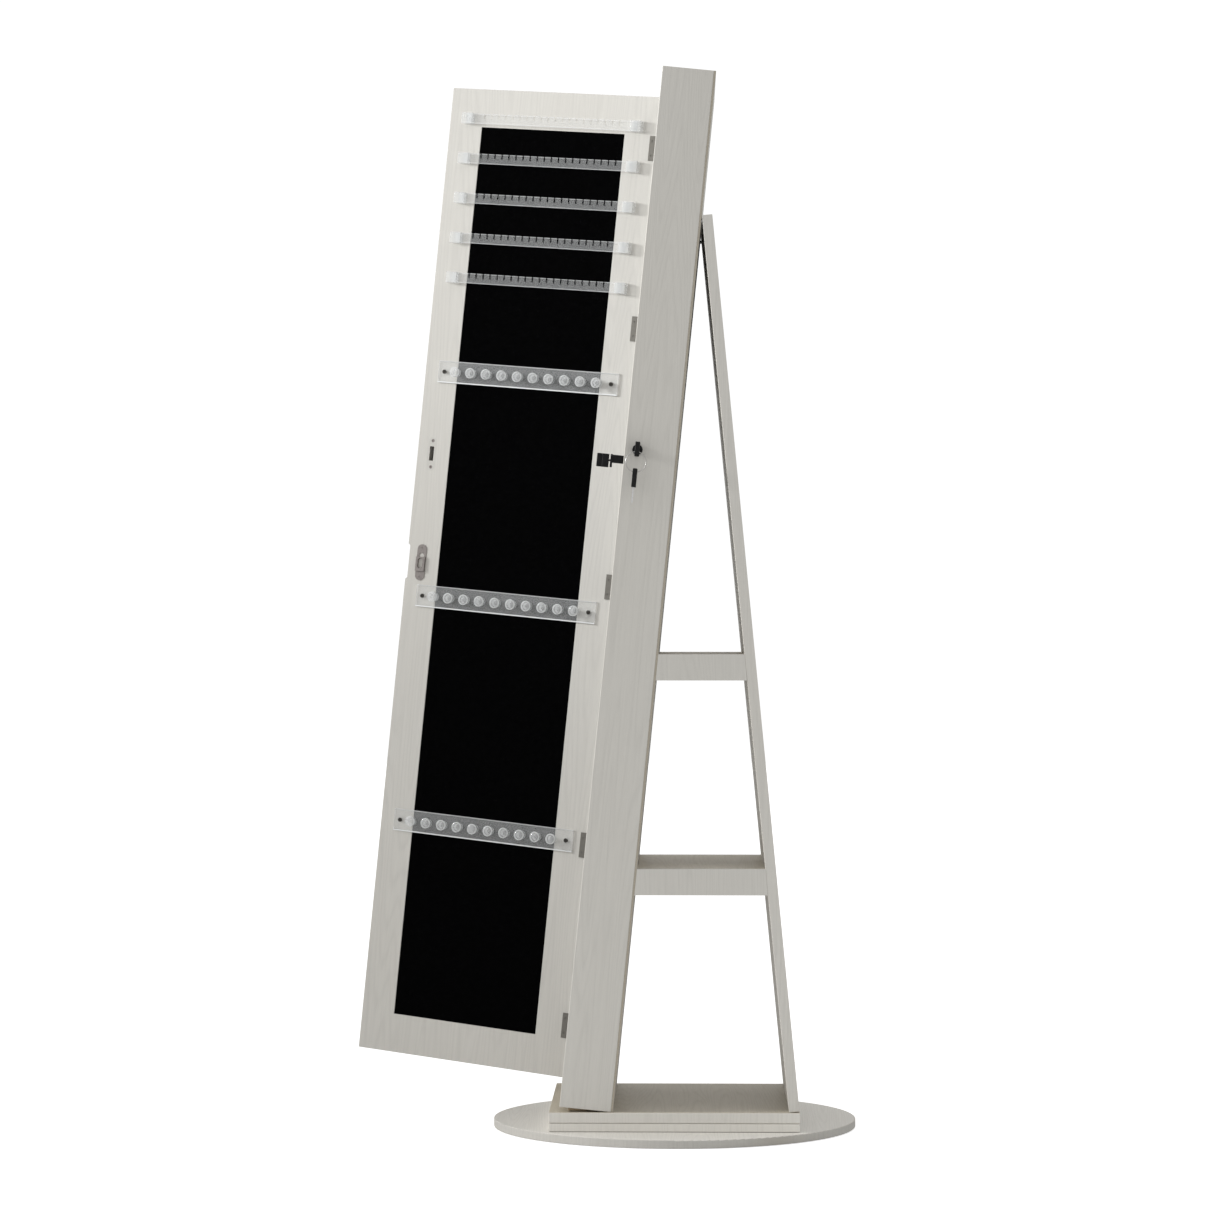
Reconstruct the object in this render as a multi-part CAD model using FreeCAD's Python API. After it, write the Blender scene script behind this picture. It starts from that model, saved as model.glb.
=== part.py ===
import FreeCAD, Part
import math
import os

from FreeCAD import Placement, Rotation, Vector

# A jewelry cabinet that leans back on a turning foot.  Millimetres, +Z up, +X to the rear, the lock on the
# -Y side, origin at floor level under the middle of the round base.
#
# Cabinet pieces are drawn upright as (depth behind the front edge, Y, height along the cabinet), and the
# whole cabinet is then leaned back.  Door pieces are drawn as (distance from the hinge edge, distance in
# front of the felt side, height along the door), and the whole door is then hung on its hinge axis.

# ---- driving dimensions ----
BOARD = 15.0            # every board that carries load
EASE = 0.8              # rounding of the edge banding
LEAN = 5.67             # degrees that the cabinet leans back
CAB_LENGTH = 1500.0
CAB_WIDTH = 352.0
CAB_DEPTH = 74.0        # side panels, without the back
CAB_FOOT_X = -164.7     # bottom front edge of the cabinet
BACK = 3.0              # hardboard back, laid over the side panels
LINING = 1.2

PAD = 1.0
PAD_CIRCLE = 235.0
DISC = 12.0
DISC_RADIUS = 266.5
TURN_GAP = 0.6          # between the round base and what turns on it
SPACER = 12.4
SHADOW_GROOVE = (1.6, 0.8)     # depth and height, round the top of the spacer board
DECK_SIDE = 360.0

SHELF_TOPS = (697.5, 389.5)
RAIL_HEIGHT = 37.5
REAR_FOOT = 164.5       # inner bottom edge of the rear board
REAR_HEIGHT = 1327.0    # inner top edge of the rear board

DOOR_OPEN = 112.2       # degrees from closed, as drawn
DOOR_BOARD = 39.0
DOOR_GAP = 3.0          # from the cabinet's front edges to the felt side of the closed door
STILE = 55.0
END_RAIL = 59.0
FELT = 3.5
FELT_RECESS = 1.5
MIRROR = 4.0
MIRROR_BORDER = 35.0

HINGE_HEIGHTS = (79.0, 355.0, 750.0, 1145.0, 1421.0)
HINGE_OUT = 3.0         # hinge axis outside the side panel
LEAF = 1.3
LEAF_WIDTH = 12.0
LEAF_HEIGHT = 38.0
KNUCKLE_RADIUS = 2.8
KNUCKLE_END = 12.3      # height of each of a hinge's two outer knuckles
KNUCKLE_PLAY = 0.3
PIN_RADIUS = 1.4

EARRING_HEIGHTS = (1453.0, 1391.0, 1329.0, 1267.0, 1205.0)
NECKLACE_HEIGHTS = (1058.0, 708.5, 359.0)
PEG_PITCH = 26.6
PEGS = 10
INNER_SHELVES = (300.0, 560.0, 1180.0)
HANGING_RODS = (960.0, 1100.0)

LOCK_DEPTH = 18.3       # lock axis behind the front edge
LOCK_HEIGHT = 948.7
LOCK_THROW = 7.0        # the hook drops this far while the key turns 90 degrees
HOOK_OUT = 39.0         # the hook stands this far in front of the front edge
HOOK_WIDTH = 3.2
HOOK_INSET = 25.0       # middle of the hook, in from the outside of the side panel
CATCH_HEIGHT = 760.0
CATCH_PLAY = 0.5        # between the catch and its keeper, door closed
KEEPER = (15.5, 56.0, 1.2)      # width, height, thickness
KEEPER_STRAP = (-14.2, 8.4, 3.0)    # the raised part: low, high, above the plate
KEEPER_HOLE = (4.4, 10.3)       # radius, height
KEEPER_SLOT = (8.5, -9.4, 6.5)  # width, low, high
RUNNING = 0.06          # radial clearance of a turning fit

# screws as (head radius, head height, shank radius, shank length)
LEAF_SCREW = (2.7, LEAF, 1.4, 10.0)
PLATE_SCREW = (3.2, 1.8, 1.5, 13.0)
BACK_SCREW = (3.4, 1.6, 1.6, 14.0)
DECK_SCREW = (3.6, 1.6, 1.8, 9.0)
DECK_BOLT = (7.0, 2.5, 3.0, 38.0)
FRAME_SCREW = (5.0, 1.5, 2.5, 42.0)

# ---- worked out from the above ----
HALF = CAB_WIDTH / 2
INSIDE = HALF - BOARD
DISC_TOP = PAD + DISC
SPACER_BOTTOM = DISC_TOP + TURN_GAP
DECK_BOTTOM = SPACER_BOTTOM + SPACER
DECK_TOP = DECK_BOTTOM + BOARD
FULL_DEPTH = CAB_DEPTH + BACK
LINING_FRONT = CAB_DEPTH - LINING
SIN_LEAN = math.sin(math.radians(LEAN))
COS_LEAN = math.cos(math.radians(LEAN))
CAB_FOOT_Z = DECK_TOP + FULL_DEPTH * SIN_LEAN
HOOK_Y = HOOK_INSET - HALF
HOOK_S = CAB_WIDTH - HOOK_INSET
X_AXIS, Y_AXIS, Z_AXIS = Vector(1, 0, 0), Vector(0, 1, 0), Vector(0, 0, 1)

CABINET = Placement(Vector(CAB_FOOT_X, 0, CAB_FOOT_Z), Rotation(Y_AXIS, LEAN))
HINGE_AXIS = Vector(-DOOR_GAP / 2, HALF + HINGE_OUT, 0)
DOOR = CABINET.multiply(
    Placement(HINGE_AXIS, Rotation(Z_AXIS, -DOOR_OPEN)).multiply(
        Placement(Vector(-DOOR_GAP / 2, -HINGE_OUT, 0), Rotation(Z_AXIS, -90))))


# ---- small tools ----
def box(x0, x1, y0, y1, z0, z1):
    """A block between two corners."""
    return Part.makeBox(x1 - x0, y1 - y0, z1 - z0, Vector(x0, y0, z0))


def board(x0, x1, y0, y1, z0, z1, ease=EASE):
    """A block with every edge eased."""
    block = box(x0, x1, y0, y1, z0, z1)
    return block.makeFillet(ease, block.Edges)


def rod(radius, start, end):
    """A round bar from one point to another."""
    start, end = Vector(*start), Vector(*end)
    return Part.makeCylinder(radius, (end - start).Length, start, end - start)


def slab(points, direction):
    """A flat outline pushed out along a direction."""
    corners = [Vector(*point) for point in points]
    return Part.Face(Part.makePolygon(corners + corners[:1])).extrude(Vector(*direction))


def fused(solids):
    """One solid made of several that meet."""
    whole = solids[0]
    for solid in solids[1:]:
        whole = whole.fuse(solid)
    return whole.removeSplitter()


def turned(profile, axis_point, axis):
    """A closed profile turned all the way round an axis."""
    corners = [Vector(*point) for point in profile]
    return Part.Face(Part.makePolygon(corners + corners[:1])).revolve(axis_point, axis, 360)


def long_hole(width, length, x, y0, y1, z):
    """A round-ended upright slot, or the plate of that outline, from y0 to y1."""
    reach = (length - width) / 2
    ends = [rod(width / 2, (x, y0, z + side * reach), (x, y1, z + side * reach)) for side in (-1, 1)]
    return fused(ends + [box(x - width / 2, x + width / 2, y0, y1, z - reach, z + reach)])


def fastener(kind, point, way, recess=True):
    """A screw whose head's outer face is at point and whose shank leads along way."""
    head_radius, head_height, shank_radius, shank_length = kind
    solid = fused([Part.makeCylinder(head_radius, head_height),
                   Part.makeCylinder(shank_radius, shank_length + head_height)])
    if recess:
        arm, thin, deep = 0.62 * head_radius, 0.14 * head_radius, 0.55 * head_height
        solid = solid.cut(box(-arm, arm, -thin, thin, -1, deep))
        solid = solid.cut(box(-thin, thin, -arm, arm, -1, deep))
    solid.Placement = Placement(Vector(*point), Rotation(Z_AXIS, Vector(*way)))
    return solid


def fasteners(kind, spots):
    """Identical screws, as one group."""
    return Part.makeCompound([fastener(kind, point, way) for point, way in spots])


def drilled(solid, kind, spots):
    """A solid with the seats of its screws cut out."""
    return solid.cut(Part.makeCompound([fastener(kind, point, way, recess=False) for point, way in spots]))


def mirrored_ends(spots):
    """The same spots on both sides of the middle plane."""
    return [((x, side * y, z), way) for (x, y, z), way in spots for side in (-1, 1)]


def placed(placement, shapes):
    """Copies of named shapes, moved from their drawing position to their place."""
    moved = {}
    for name, shape in shapes.items():
        copy = shape.copy()
        copy.Placement = placement.multiply(copy.Placement)
        moved[name] = copy
    return moved


# ---- the turning foot ----
RACE_RADIUS = 53.0
BALL_RADIUS = 2.5
BALLS = 24
PLATE_HALF = 75.0
TURN_MIDDLE = (DISC_TOP + DECK_BOTTOM) / 2
PLATE = 1.5
RACE_WIDTH = 12.0
RACE_SPLIT = 1.2        # open height between the two halves of the ball race


def race_plate(outer, middle_side):
    """Half of the ball bearing: a square plate and its half of the race."""
    inner = outer + middle_side * PLATE
    lip = TURN_MIDDLE - middle_side * RACE_SPLIT / 2
    low, high = sorted((outer, inner))
    plate = box(-PLATE_HALF, PLATE_HALF, -PLATE_HALF, PLATE_HALF, low, high)
    corners = [edge for edge in plate.Edges if edge.Length < 2 * PLATE]
    plate = plate.makeFillet(12.0, corners)
    r0, r1 = RACE_RADIUS - RACE_WIDTH / 2, RACE_RADIUS + RACE_WIDTH / 2
    ring = turned([(r0, 0, inner), (r1, 0, inner), (r1, 0, lip), (r0, 0, lip)], Vector(), Z_AXIS)
    groove = Part.makeTorus(RACE_RADIUS, BALL_RADIUS + RUNNING, Vector(0, 0, TURN_MIDDLE))
    return fused([plate, ring]).cut(groove).cut(rod(30.0, (0, 0, low - 1), (0, 0, high + 1)))


def race_screws(z, way):
    """Screw positions in the four corners of a race plate."""
    reach = PLATE_HALF - 10
    return [((x, y, z), (0, 0, way)) for x in (-reach, reach) for y in (-reach, reach)]


def foot():
    """The round base on the floor and the lower half of its bearing."""
    screws = race_screws(DISC_TOP + PLATE, -1)
    disc = Part.makeCylinder(DISC_RADIUS, DISC, Vector(0, 0, PAD))
    disc = disc.makeFillet(1.2, [edge for edge in disc.Edges if isinstance(edge.Curve, Part.Circle)])
    spokes = [math.radians(60 * k) for k in range(6)]
    spots = [Vector()] + [Vector(PAD_CIRCLE * math.cos(a), PAD_CIRCLE * math.sin(a), 0) for a in spokes]
    pads = [Part.makeCylinder(14.0, PAD, spot) for spot in spots]
    turns = [2 * math.pi * k / BALLS for k in range(BALLS)]
    balls = [Part.makeSphere(BALL_RADIUS, Vector(RACE_RADIUS * math.cos(a), RACE_RADIUS * math.sin(a),
                                                 TURN_MIDDLE)) for a in turns]
    return {
        "floor_pads": Part.makeCompound(pads),
        "base_disc": drilled(disc, DECK_SCREW, screws),
        "turntable_lower_plate": drilled(race_plate(DISC_TOP, 1), DECK_SCREW, screws),
        "turntable_lower_screws": fasteners(DECK_SCREW, screws),
        "turntable_balls": Part.makeCompound(balls),
    }


def deck_bolt_spots():
    """Bolts that come up through the deck into the cabinet's bottom and the rear board."""
    cabinet_x = CAB_FOOT_X + 38.0
    rear_x = REAR_FOOT + BOARD / 2
    return mirrored_ends([((x, 110.0, DECK_BOTTOM), (0, 0, 1)) for x in (cabinet_x, rear_x)])


def deck():
    """The square deck that turns, its spacer and the upper half of the bearing."""
    half = DECK_SIDE / 2
    plate_screws = race_screws(DECK_BOTTOM - PLATE, 1)
    sides = (30 - half, half - 30)
    spacer_screws = [((x, y, SPACER_BOTTOM), (0, 0, 1)) for x in sides for y in sides]
    longer = DECK_SCREW[:3] + (DECK_SCREW[3] + SPACER,)
    inset, groove = SHADOW_GROOVE
    spacer = board(-half, half, -half, half, SPACER_BOTTOM, DECK_BOTTOM - groove)
    spacer = fused([spacer, box(inset - half, half - inset, inset - half, half - inset,
                                DECK_BOTTOM - groove - 1, DECK_BOTTOM)])
    spacer = spacer.cut(rod(PLATE_HALF * 1.5, (0, 0, SPACER_BOTTOM - 1), (0, 0, DECK_BOTTOM + 1)))
    top = board(-half, half, -half, half, DECK_BOTTOM, DECK_TOP)
    top = drilled(drilled(top, DECK_SCREW, plate_screws), longer, spacer_screws)
    lean_drop = SIN_LEAN / COS_LEAN
    front, rear = 12.0, 70.0
    wedge = slab([(CAB_FOOT_X + x, -INSIDE + 8, z) for x, z in (
        (front, DECK_TOP), (rear, DECK_TOP),
        (rear, CAB_FOOT_Z - rear * lean_drop), (front, CAB_FOOT_Z - front * lean_drop))],
        (0, 2 * (INSIDE - 8), 0))
    bolts = deck_bolt_spots()
    return {
        "turntable_upper_plate": drilled(race_plate(DECK_BOTTOM, -1), DECK_SCREW, plate_screws),
        "spacer_board": drilled(spacer, longer, spacer_screws),
        "deck_board": drilled(top, DECK_BOLT, bolts),
        "deck_screws": Part.makeCompound([fasteners(DECK_SCREW, plate_screws),
                                          fasteners(longer, spacer_screws)]),
        "deck_bolts": fasteners(DECK_BOLT, bolts),
        "foot_wedge": drilled(wedge, DECK_BOLT, bolts),
    }


# ---- the cabinet ----
def leaf_spots(across, surface, way):
    """Two screws in each hinge leaf."""
    return [((*across(surface), middle + side * 11.0), way) for middle in HINGE_HEIGHTS for side in (-1, 1)]


def cabinet_leaf_spots():
    return leaf_spots(lambda d: (d, HALF - LEAF_WIDTH / 2 - 1.5), -LEAF, (1, 0, 0))


def back_screw_spots():
    """Screws round the edge of the hardboard back."""
    surface = FULL_DEPTH
    heights = [40.0 + k * (CAB_LENGTH - 80.0) / 6 for k in range(7)]
    sides = mirrored_ends([((surface, HALF - BOARD / 2, z), (-1, 0, 0)) for z in heights])
    ends = [((surface, 0.0, z), (-1, 0, 0)) for z in (BOARD / 2, CAB_LENGTH - BOARD / 2)]
    return sides + ends


def frame_screw_spots():
    """Screws through the rear board, given where they stand."""
    lean = math.atan2(REAR_FOOT - rear_top_x(), REAR_HEIGHT - DECK_TOP)
    normal = (math.cos(lean), 0, math.sin(lean))
    way = (-normal[0], 0, -normal[2])
    spots = [(INSIDE + BOARD / 2, REAR_HEIGHT - BOARD / 2)]
    spots += [(INSIDE + BOARD / 2, top - RAIL_HEIGHT / 2) for top in SHELF_TOPS]
    outer = []
    for y, z in spots:
        x = rear_face_x(z) + BOARD * normal[0]
        outer.append(((x, y, z + BOARD * normal[2]), way))
    return mirrored_ends(outer)


def to_cabinet(spots):
    """Screws given where they stand, in the cabinet's upright drawing frame."""
    back = CABINET.inverse()
    turn = Rotation(Y_AXIS, -LEAN)
    return [(tuple(back.multVec(Vector(*point))), tuple(turn.multVec(Vector(*way)))) for point, way in spots]


def lock_cutter(radius):
    """A bar along the lock's axis."""
    return rod(radius, (LOCK_DEPTH, -HALF - 10, LOCK_HEIGHT), (LOCK_DEPTH, -INSIDE + 10, LOCK_HEIGHT))


def hanging_rods():
    """Two bars across the cabinet, let into both side panels."""
    reach = INSIDE + 6.0
    return Part.makeCompound([rod(4.0, (50.0, -reach, z), (50.0, reach, z)) for z in HANGING_RODS])


def carcass():
    """Side panels, ends, back and lining."""
    rods = hanging_rods()
    screws = back_screw_spots()
    frame = to_cabinet(frame_screw_spots())
    bolts = to_cabinet(deck_bolt_spots())
    near = board(0, CAB_DEPTH, -HALF, -INSIDE, 0, CAB_LENGTH).cut(lock_cutter(BARREL_RADIUS)).cut(rods)
    far = board(0, CAB_DEPTH, INSIDE, HALF, 0, CAB_LENGTH).cut(rods)
    back = board(CAB_DEPTH, FULL_DEPTH, -HALF, HALF, 0, CAB_LENGTH, 0.4)
    bottom = board(0, CAB_DEPTH, -INSIDE, INSIDE, 0, BOARD, 0.4)
    top = board(0, CAB_DEPTH, -INSIDE, INSIDE, CAB_LENGTH - BOARD, CAB_LENGTH, 0.4)
    near, far, back, bottom, top = [drilled(piece, BACK_SCREW, screws)
                                    for piece in (near, far, back, bottom, top)]
    near, far, back = [drilled(piece, FRAME_SCREW, frame) for piece in (near, far, back)]
    return {
        "side_panel_near": near,
        "side_panel_far": drilled(far, LEAF_SCREW, cabinet_leaf_spots()),
        "top_panel": top,
        "bottom_panel": drilled(bottom, DECK_BOLT, bolts),
        "back_panel": back,
        "back_lining": box(LINING_FRONT, CAB_DEPTH, -INSIDE, INSIDE, BOARD, CAB_LENGTH - BOARD),
        "back_panel_screws": fasteners(BACK_SCREW, screws),
    }


# ---- fittings inside the cabinet ----
SHELF = 9.0
SHELF_FRONT = 34.0
GUARD = 2.0
GUARD_HEIGHT = 30.0


def interior():
    """Shallow shelves with clear guards, the ring cushion and the bars that things hang from."""
    shelves = [box(SHELF_FRONT, LINING_FRONT, -INSIDE, INSIDE, z, z + SHELF) for z in INNER_SHELVES]
    guards = [board(SHELF_FRONT - GUARD, SHELF_FRONT, -INSIDE + 1, INSIDE - 1, z, z + GUARD_HEIGHT, 0.5)
              for z in INNER_SHELVES]
    base = INNER_SHELVES[1] + SHELF
    cushion = board(LINING_FRONT - 22.0, LINING_FRONT, -INSIDE + 3, INSIDE - 3, base, base + 240.0, 4.0)
    return {
        "inner_shelves": Part.makeCompound(shelves),
        "shelf_guards": Part.makeCompound(guards),
        "ring_cushion": cushion,
        "hanging_rods": hanging_rods(),
    }


def hinge_cabinet_side():
    """Leaves, pins and screws of the five hinges that stay with the cabinet."""
    axis_d, axis_y = HINGE_AXIS.x, HINGE_AXIS.y
    leaves = []
    pins = []
    for middle in HINGE_HEIGHTS:
        low, high = middle - LEAF_HEIGHT / 2, middle + LEAF_HEIGHT / 2
        parts = [box(-LEAF, 0, HALF - LEAF_WIDTH, HALF - 0.6, low, high)]
        for z0, z1 in ((low, low + KNUCKLE_END), (high - KNUCKLE_END, high)):
            parts.append(box(-LEAF, 0, HALF - LEAF_WIDTH, axis_y, z0, z1))
            parts.append(rod(KNUCKLE_RADIUS, (axis_d, axis_y, z0), (axis_d, axis_y, z1)))
        bore = rod(PIN_RADIUS, (axis_d, axis_y, low - 1), (axis_d, axis_y, high + 1))
        leaves.append(fused(parts).cut(bore))
        ends = [rod(2.2, (axis_d, axis_y, z), (axis_d, axis_y, z + 0.8)) for z in (low - 0.8, high)]
        pins.append(fused([rod(PIN_RADIUS, (axis_d, axis_y, low), (axis_d, axis_y, high))] + ends))
    return {
        "hinge_cabinet_leaves": drilled(Part.makeCompound(leaves), LEAF_SCREW, cabinet_leaf_spots()),
        "hinge_pins": Part.makeCompound(pins),
        "hinge_cabinet_screws": fasteners(LEAF_SCREW, cabinet_leaf_spots()),
    }


# ---- the lock ----
BARREL_RADIUS = 6.6
FLANGE = 2.5
FLANGE_RADIUS = 7.5
PLUG_RADIUS = 4.7
BARREL_END = -INSIDE + 2.4
CASE_BACK = -INSIDE + 18.0
CASE_WALL = 1.5
CASE = (3.0, 46.0, LOCK_HEIGHT - 40.0, LOCK_HEIGHT + 18.0)
DRIVER_RADIUS = LOCK_THROW / math.sqrt(2)
DRIVER_PIN = 1.5
HOOK_BAR = (927.3, 939.0)
HOOK_HEAD = (920.2, 939.6)
HOOK_COLLAR = (920.8, 939.8)


def key_slot():
    """The slot through the plug that the key's blade fills."""
    return box(LOCK_DEPTH - 1.3, LOCK_DEPTH + 1.3, -HALF - 20, BARREL_END + 0.2,
               LOCK_HEIGHT - 3.3, LOCK_HEIGHT + 3.3)


def driver_spot():
    """The driving pin's place while the key is upright: behind the lock's axis and above it."""
    reach = DRIVER_RADIUS / math.sqrt(2)
    return LOCK_DEPTH + reach, LOCK_HEIGHT + reach


def lock_body():
    """Barrel and case, fixed to the lock side's panel."""
    face = -HALF - FLANGE
    front = (LOCK_DEPTH, face, LOCK_HEIGHT)
    barrel = fused([rod(BARREL_RADIUS, front, (LOCK_DEPTH, BARREL_END, LOCK_HEIGHT)),
                    rod(FLANGE_RADIUS, front, (LOCK_DEPTH, -HALF, LOCK_HEIGHT))])
    rim = [edge for edge in barrel.Edges if isinstance(edge.Curve, Part.Circle)
           and abs(edge.Curve.Radius - FLANGE_RADIUS) < 0.01 and edge.CenterOfMass.y < -HALF - FLANGE / 2]
    barrel = barrel.makeFillet(0.9, rim).cut(lock_cutter(PLUG_RADIUS + RUNNING))
    d0, d1, z0, z1 = CASE
    hollow = box(d0 + CASE_WALL, d1 - CASE_WALL, -INSIDE - 1, CASE_BACK - CASE_WALL,
                 z0 + CASE_WALL, z1 - CASE_WALL)
    half = HOOK_WIDTH / 2 + 0.8
    mouth = box(d0 - 1, d0 + 3, HOOK_Y - half, HOOK_Y + half,
                HOOK_BAR[0] - LOCK_THROW - 0.5, HOOK_BAR[1] + 0.5)
    case = board(d0, d1, -INSIDE, CASE_BACK, z0, z1, 1.0).cut(hollow).cut(mouth)
    catch_front = KEEPER[2] + KEEPER_STRAP[2] - DOOR_GAP + CATCH_PLAY
    catch = board(catch_front, catch_front + 15.0, -INSIDE, -INSIDE + 17.0,
                  CATCH_HEIGHT - 19, CATCH_HEIGHT + 19, 0.6)
    return {"lock_barrel": barrel, "lock_case": case, "magnet_catch": catch}


def lock_hook():
    """The sliding hook: a bar with a collar and a hammer head, and the arm that the plug drives."""
    y0, y1 = HOOK_Y - HOOK_WIDTH / 2, HOOK_Y + HOOK_WIDTH / 2
    tip = -HOOK_OUT
    head = board(tip, tip + 17.5, y0, y1, *HOOK_HEAD, 0.8)
    groove = rod(2.6, (tip + 6.5, y0 - 1.9, HOOK_HEAD[0] - 1), (tip + 6.5, y0 - 1.9, HOOK_HEAD[1] + 1))
    neck = rod(1.4, (tip + 17.0, HOOK_Y, 930.5), (tip + 20.0, HOOK_Y, 930.5))
    collar = board(tip + 19.4, tip + 22.6, y0 - 0.6, y1 + 0.6, *HOOK_COLLAR, 0.5)
    bar = box(tip + 22.0, 36.0, y0, y1, *HOOK_BAR)
    pin_d, pin_z = driver_spot()
    arm = box(15.0, 31.0, y0, y1, HOOK_BAR[0], pin_z + 6.0)
    reach = DRIVER_RADIUS - DRIVER_RADIUS / math.sqrt(2)
    slot = box(pin_d - DRIVER_PIN - 0.5, pin_d + reach + DRIVER_PIN + 0.5, y0 - 1, y0 + 5,
               pin_z - DRIVER_PIN - 0.5, pin_z + DRIVER_PIN + 0.5)
    return {"lock_hook": fused([head.cut(groove), neck, collar, bar, arm]).cut(slot)}


def lock_plug():
    """The part of the lock that turns with the key, with its driving pin."""
    face = -HALF - FLANGE
    end = BARREL_END + 0.3
    barrel = rod(PLUG_RADIUS, (LOCK_DEPTH, face, LOCK_HEIGHT), (LOCK_DEPTH, end, LOCK_HEIGHT))
    barrel = barrel.cut(key_slot())
    disc = rod(7.0, (LOCK_DEPTH, end, LOCK_HEIGHT), (LOCK_DEPTH, end + 1.8, LOCK_HEIGHT))
    pin_d, pin_z = driver_spot()
    pin = rod(DRIVER_PIN, (pin_d, end + 1.0, pin_z), (pin_d, HOOK_Y + 0.5, pin_z))
    return {"lock_plug": fused([barrel, disc, pin])}


KEY_HEAD = (27.0, 21.0, 6.7)    # length, width, thickness
KEY_SLOT = (4.4, 14.0)
KEY_SLOT_INSET = 5.5
KEY_BLADE = (6.0, 2.0)
RING_RADIUS = 14.6
RING_WIRE = 0.65
KEY_STAND_OFF = 2.0


def key_shapes(blade_length):
    """A key drawn with its blade along +Y, its head's inner end at the origin and its width along Z."""
    length, width, thickness = KEY_HEAD
    head = box(-thickness / 2, thickness / 2, -length, 0, -width / 2, width / 2)
    corners = [edge for edge in head.Edges if abs(edge.Length - thickness) < 0.01]
    head = head.makeFillet(4.5, corners)
    rims = [edge for edge in head.Edges if abs(abs(edge.CenterOfMass.x) - thickness / 2) < 0.01]
    head = head.makeFillet(1.0, rims)
    slot_width, slot_length = KEY_SLOT
    slot = long_hole(slot_width, slot_length, 0, -thickness, thickness, 0)
    slot.Placement = Placement(Vector(0, -length + KEY_SLOT_INSET, 0), Rotation(Z_AXIS, 90))
    tall, thick = KEY_BLADE
    blade = box(-thick / 2, thick / 2, -6.0, blade_length, -tall / 2, tall / 2)
    for step in range(4):
        y = blade_length - 4.0 - 4.0 * step
        bite = rod(1.1, (-thick, y, tall / 2 + 0.4), (thick, y, tall / 2 + 0.4))
        blade = blade.cut(bite)
    seat = box(-thick / 2, thick / 2, -6.0, 0.5, -tall / 2, tall / 2)
    return head.cut(slot).cut(seat), blade


def keys():
    """The key in the lock, the split ring through its head and the spare key on the ring."""
    face = -HALF - FLANGE - KEY_STAND_OFF
    head, blade = key_shapes(21.0)
    shapes = placed(Placement(Vector(LOCK_DEPTH, face, LOCK_HEIGHT), Rotation()),
                    {"key_head": head, "key_blade": blade})
    top = Vector(LOCK_DEPTH, face - KEY_HEAD[0] + KEY_SLOT_INSET, LOCK_HEIGHT - KEY_SLOT[1] / 2 + 2.9)
    shapes["key_ring"] = Part.makeTorus(RING_RADIUS, RING_WIRE, top - Z_AXIS * RING_RADIUS, Y_AXIS)
    head, blade = key_shapes(22.0)
    hang = 2 * RING_RADIUS + KEY_HEAD[0] - KEY_SLOT_INSET + 0.2
    shapes.update(placed(Placement(top - Z_AXIS * hang, Rotation(X_AXIS, -90)),
                         {"spare_key_head": head, "spare_key_blade": blade}))
    return shapes


# ---- the door ----
FREE_EDGE = CAB_WIDTH
NOTCH = (54.0, 3.5)
STRIKE = (14.0, 52.0, 2.0)
STRIKE_MIDDLE = 929.5
MOUTH = (2.9, 4.3, 918.8, 941.0)    # towards the hinge, towards the free edge, low, high
POCKET = (7.0, 910.5, 943.0)


def door_leaf_spots():
    return leaf_spots(lambda q: (LEAF_WIDTH / 2 + 1.5, q), LEAF, (0, -1, 0))


def necklace_screw_spots():
    out = FITTING_GAP + NECKLACE_PLATE[2] + PLATE_SCREW[1]
    across = [CAB_WIDTH / 2 + side * 141.3 for side in (-1, 1)]
    return [((s, out, z), (0, -1, 0)) for z in NECKLACE_HEIGHTS for s in across]


def keeper_screw_spots():
    """Screws of the catch's keeper plate and of the lock's strike."""
    keeper = [((HOOK_S, KEEPER[2], CATCH_HEIGHT + side * 22.5), (0, -1, 0)) for side in (-1, 1)]
    strike = [((HOOK_S, 0.0, STRIKE_MIDDLE + side * 20.5), (0, -1, 0)) for side in (-1, 1)]
    return keeper + strike


def strike_opening():
    """The opening that the lock's hook goes in through."""
    inner, outer, low, high = MOUTH
    return box(HOOK_S - inner, HOOK_S + outer, -STRIKE[2] - 1, 1, low, high)


def door_board():
    """One board with a window, a seat for the mirror, the lock's pocket and a finger notch."""
    plate = board(0, FREE_EDGE, -DOOR_BOARD, 0, 0, CAB_LENGTH)
    window = box(STILE, FREE_EDGE - STILE, -DOOR_BOARD - 1, 1, END_RAIL, CAB_LENGTH - END_RAIL)
    rebate = box(MIRROR_BORDER, FREE_EDGE - MIRROR_BORDER, -DOOR_BOARD - 1, -DOOR_BOARD + MIRROR,
                 MIRROR_BORDER, CAB_LENGTH - MIRROR_BORDER)
    length, deep = NOTCH
    low, high = CATCH_HEIGHT - length / 2 + deep, CATCH_HEIGHT + length / 2 - deep
    notch = [box(FREE_EDGE - deep, FREE_EDGE + 5, -DOOR_BOARD - 1, 1, low, high)]
    notch += [rod(deep, (FREE_EDGE, -DOOR_BOARD - 1, z), (FREE_EDGE, 1, z)) for z in (low, high)]
    reach, low, high = POCKET
    pocket = box(HOOK_S - reach, HOOK_S + reach, -DOOR_BOARD + 2, -STRIKE[2], low, high)
    strike_seat = long_hole(STRIKE[0], STRIKE[1], HOOK_S, -STRIKE[2], 1, STRIKE_MIDDLE)
    for hollow in (Part.makeCompound([window, rebate]), fused(notch), fused([pocket, strike_seat])):
        plate = plate.cut(hollow)
    plate = drilled(plate, LEAF_SCREW, door_leaf_spots() + keeper_screw_spots())
    return drilled(plate, PLATE_SCREW, necklace_screw_spots())


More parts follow.
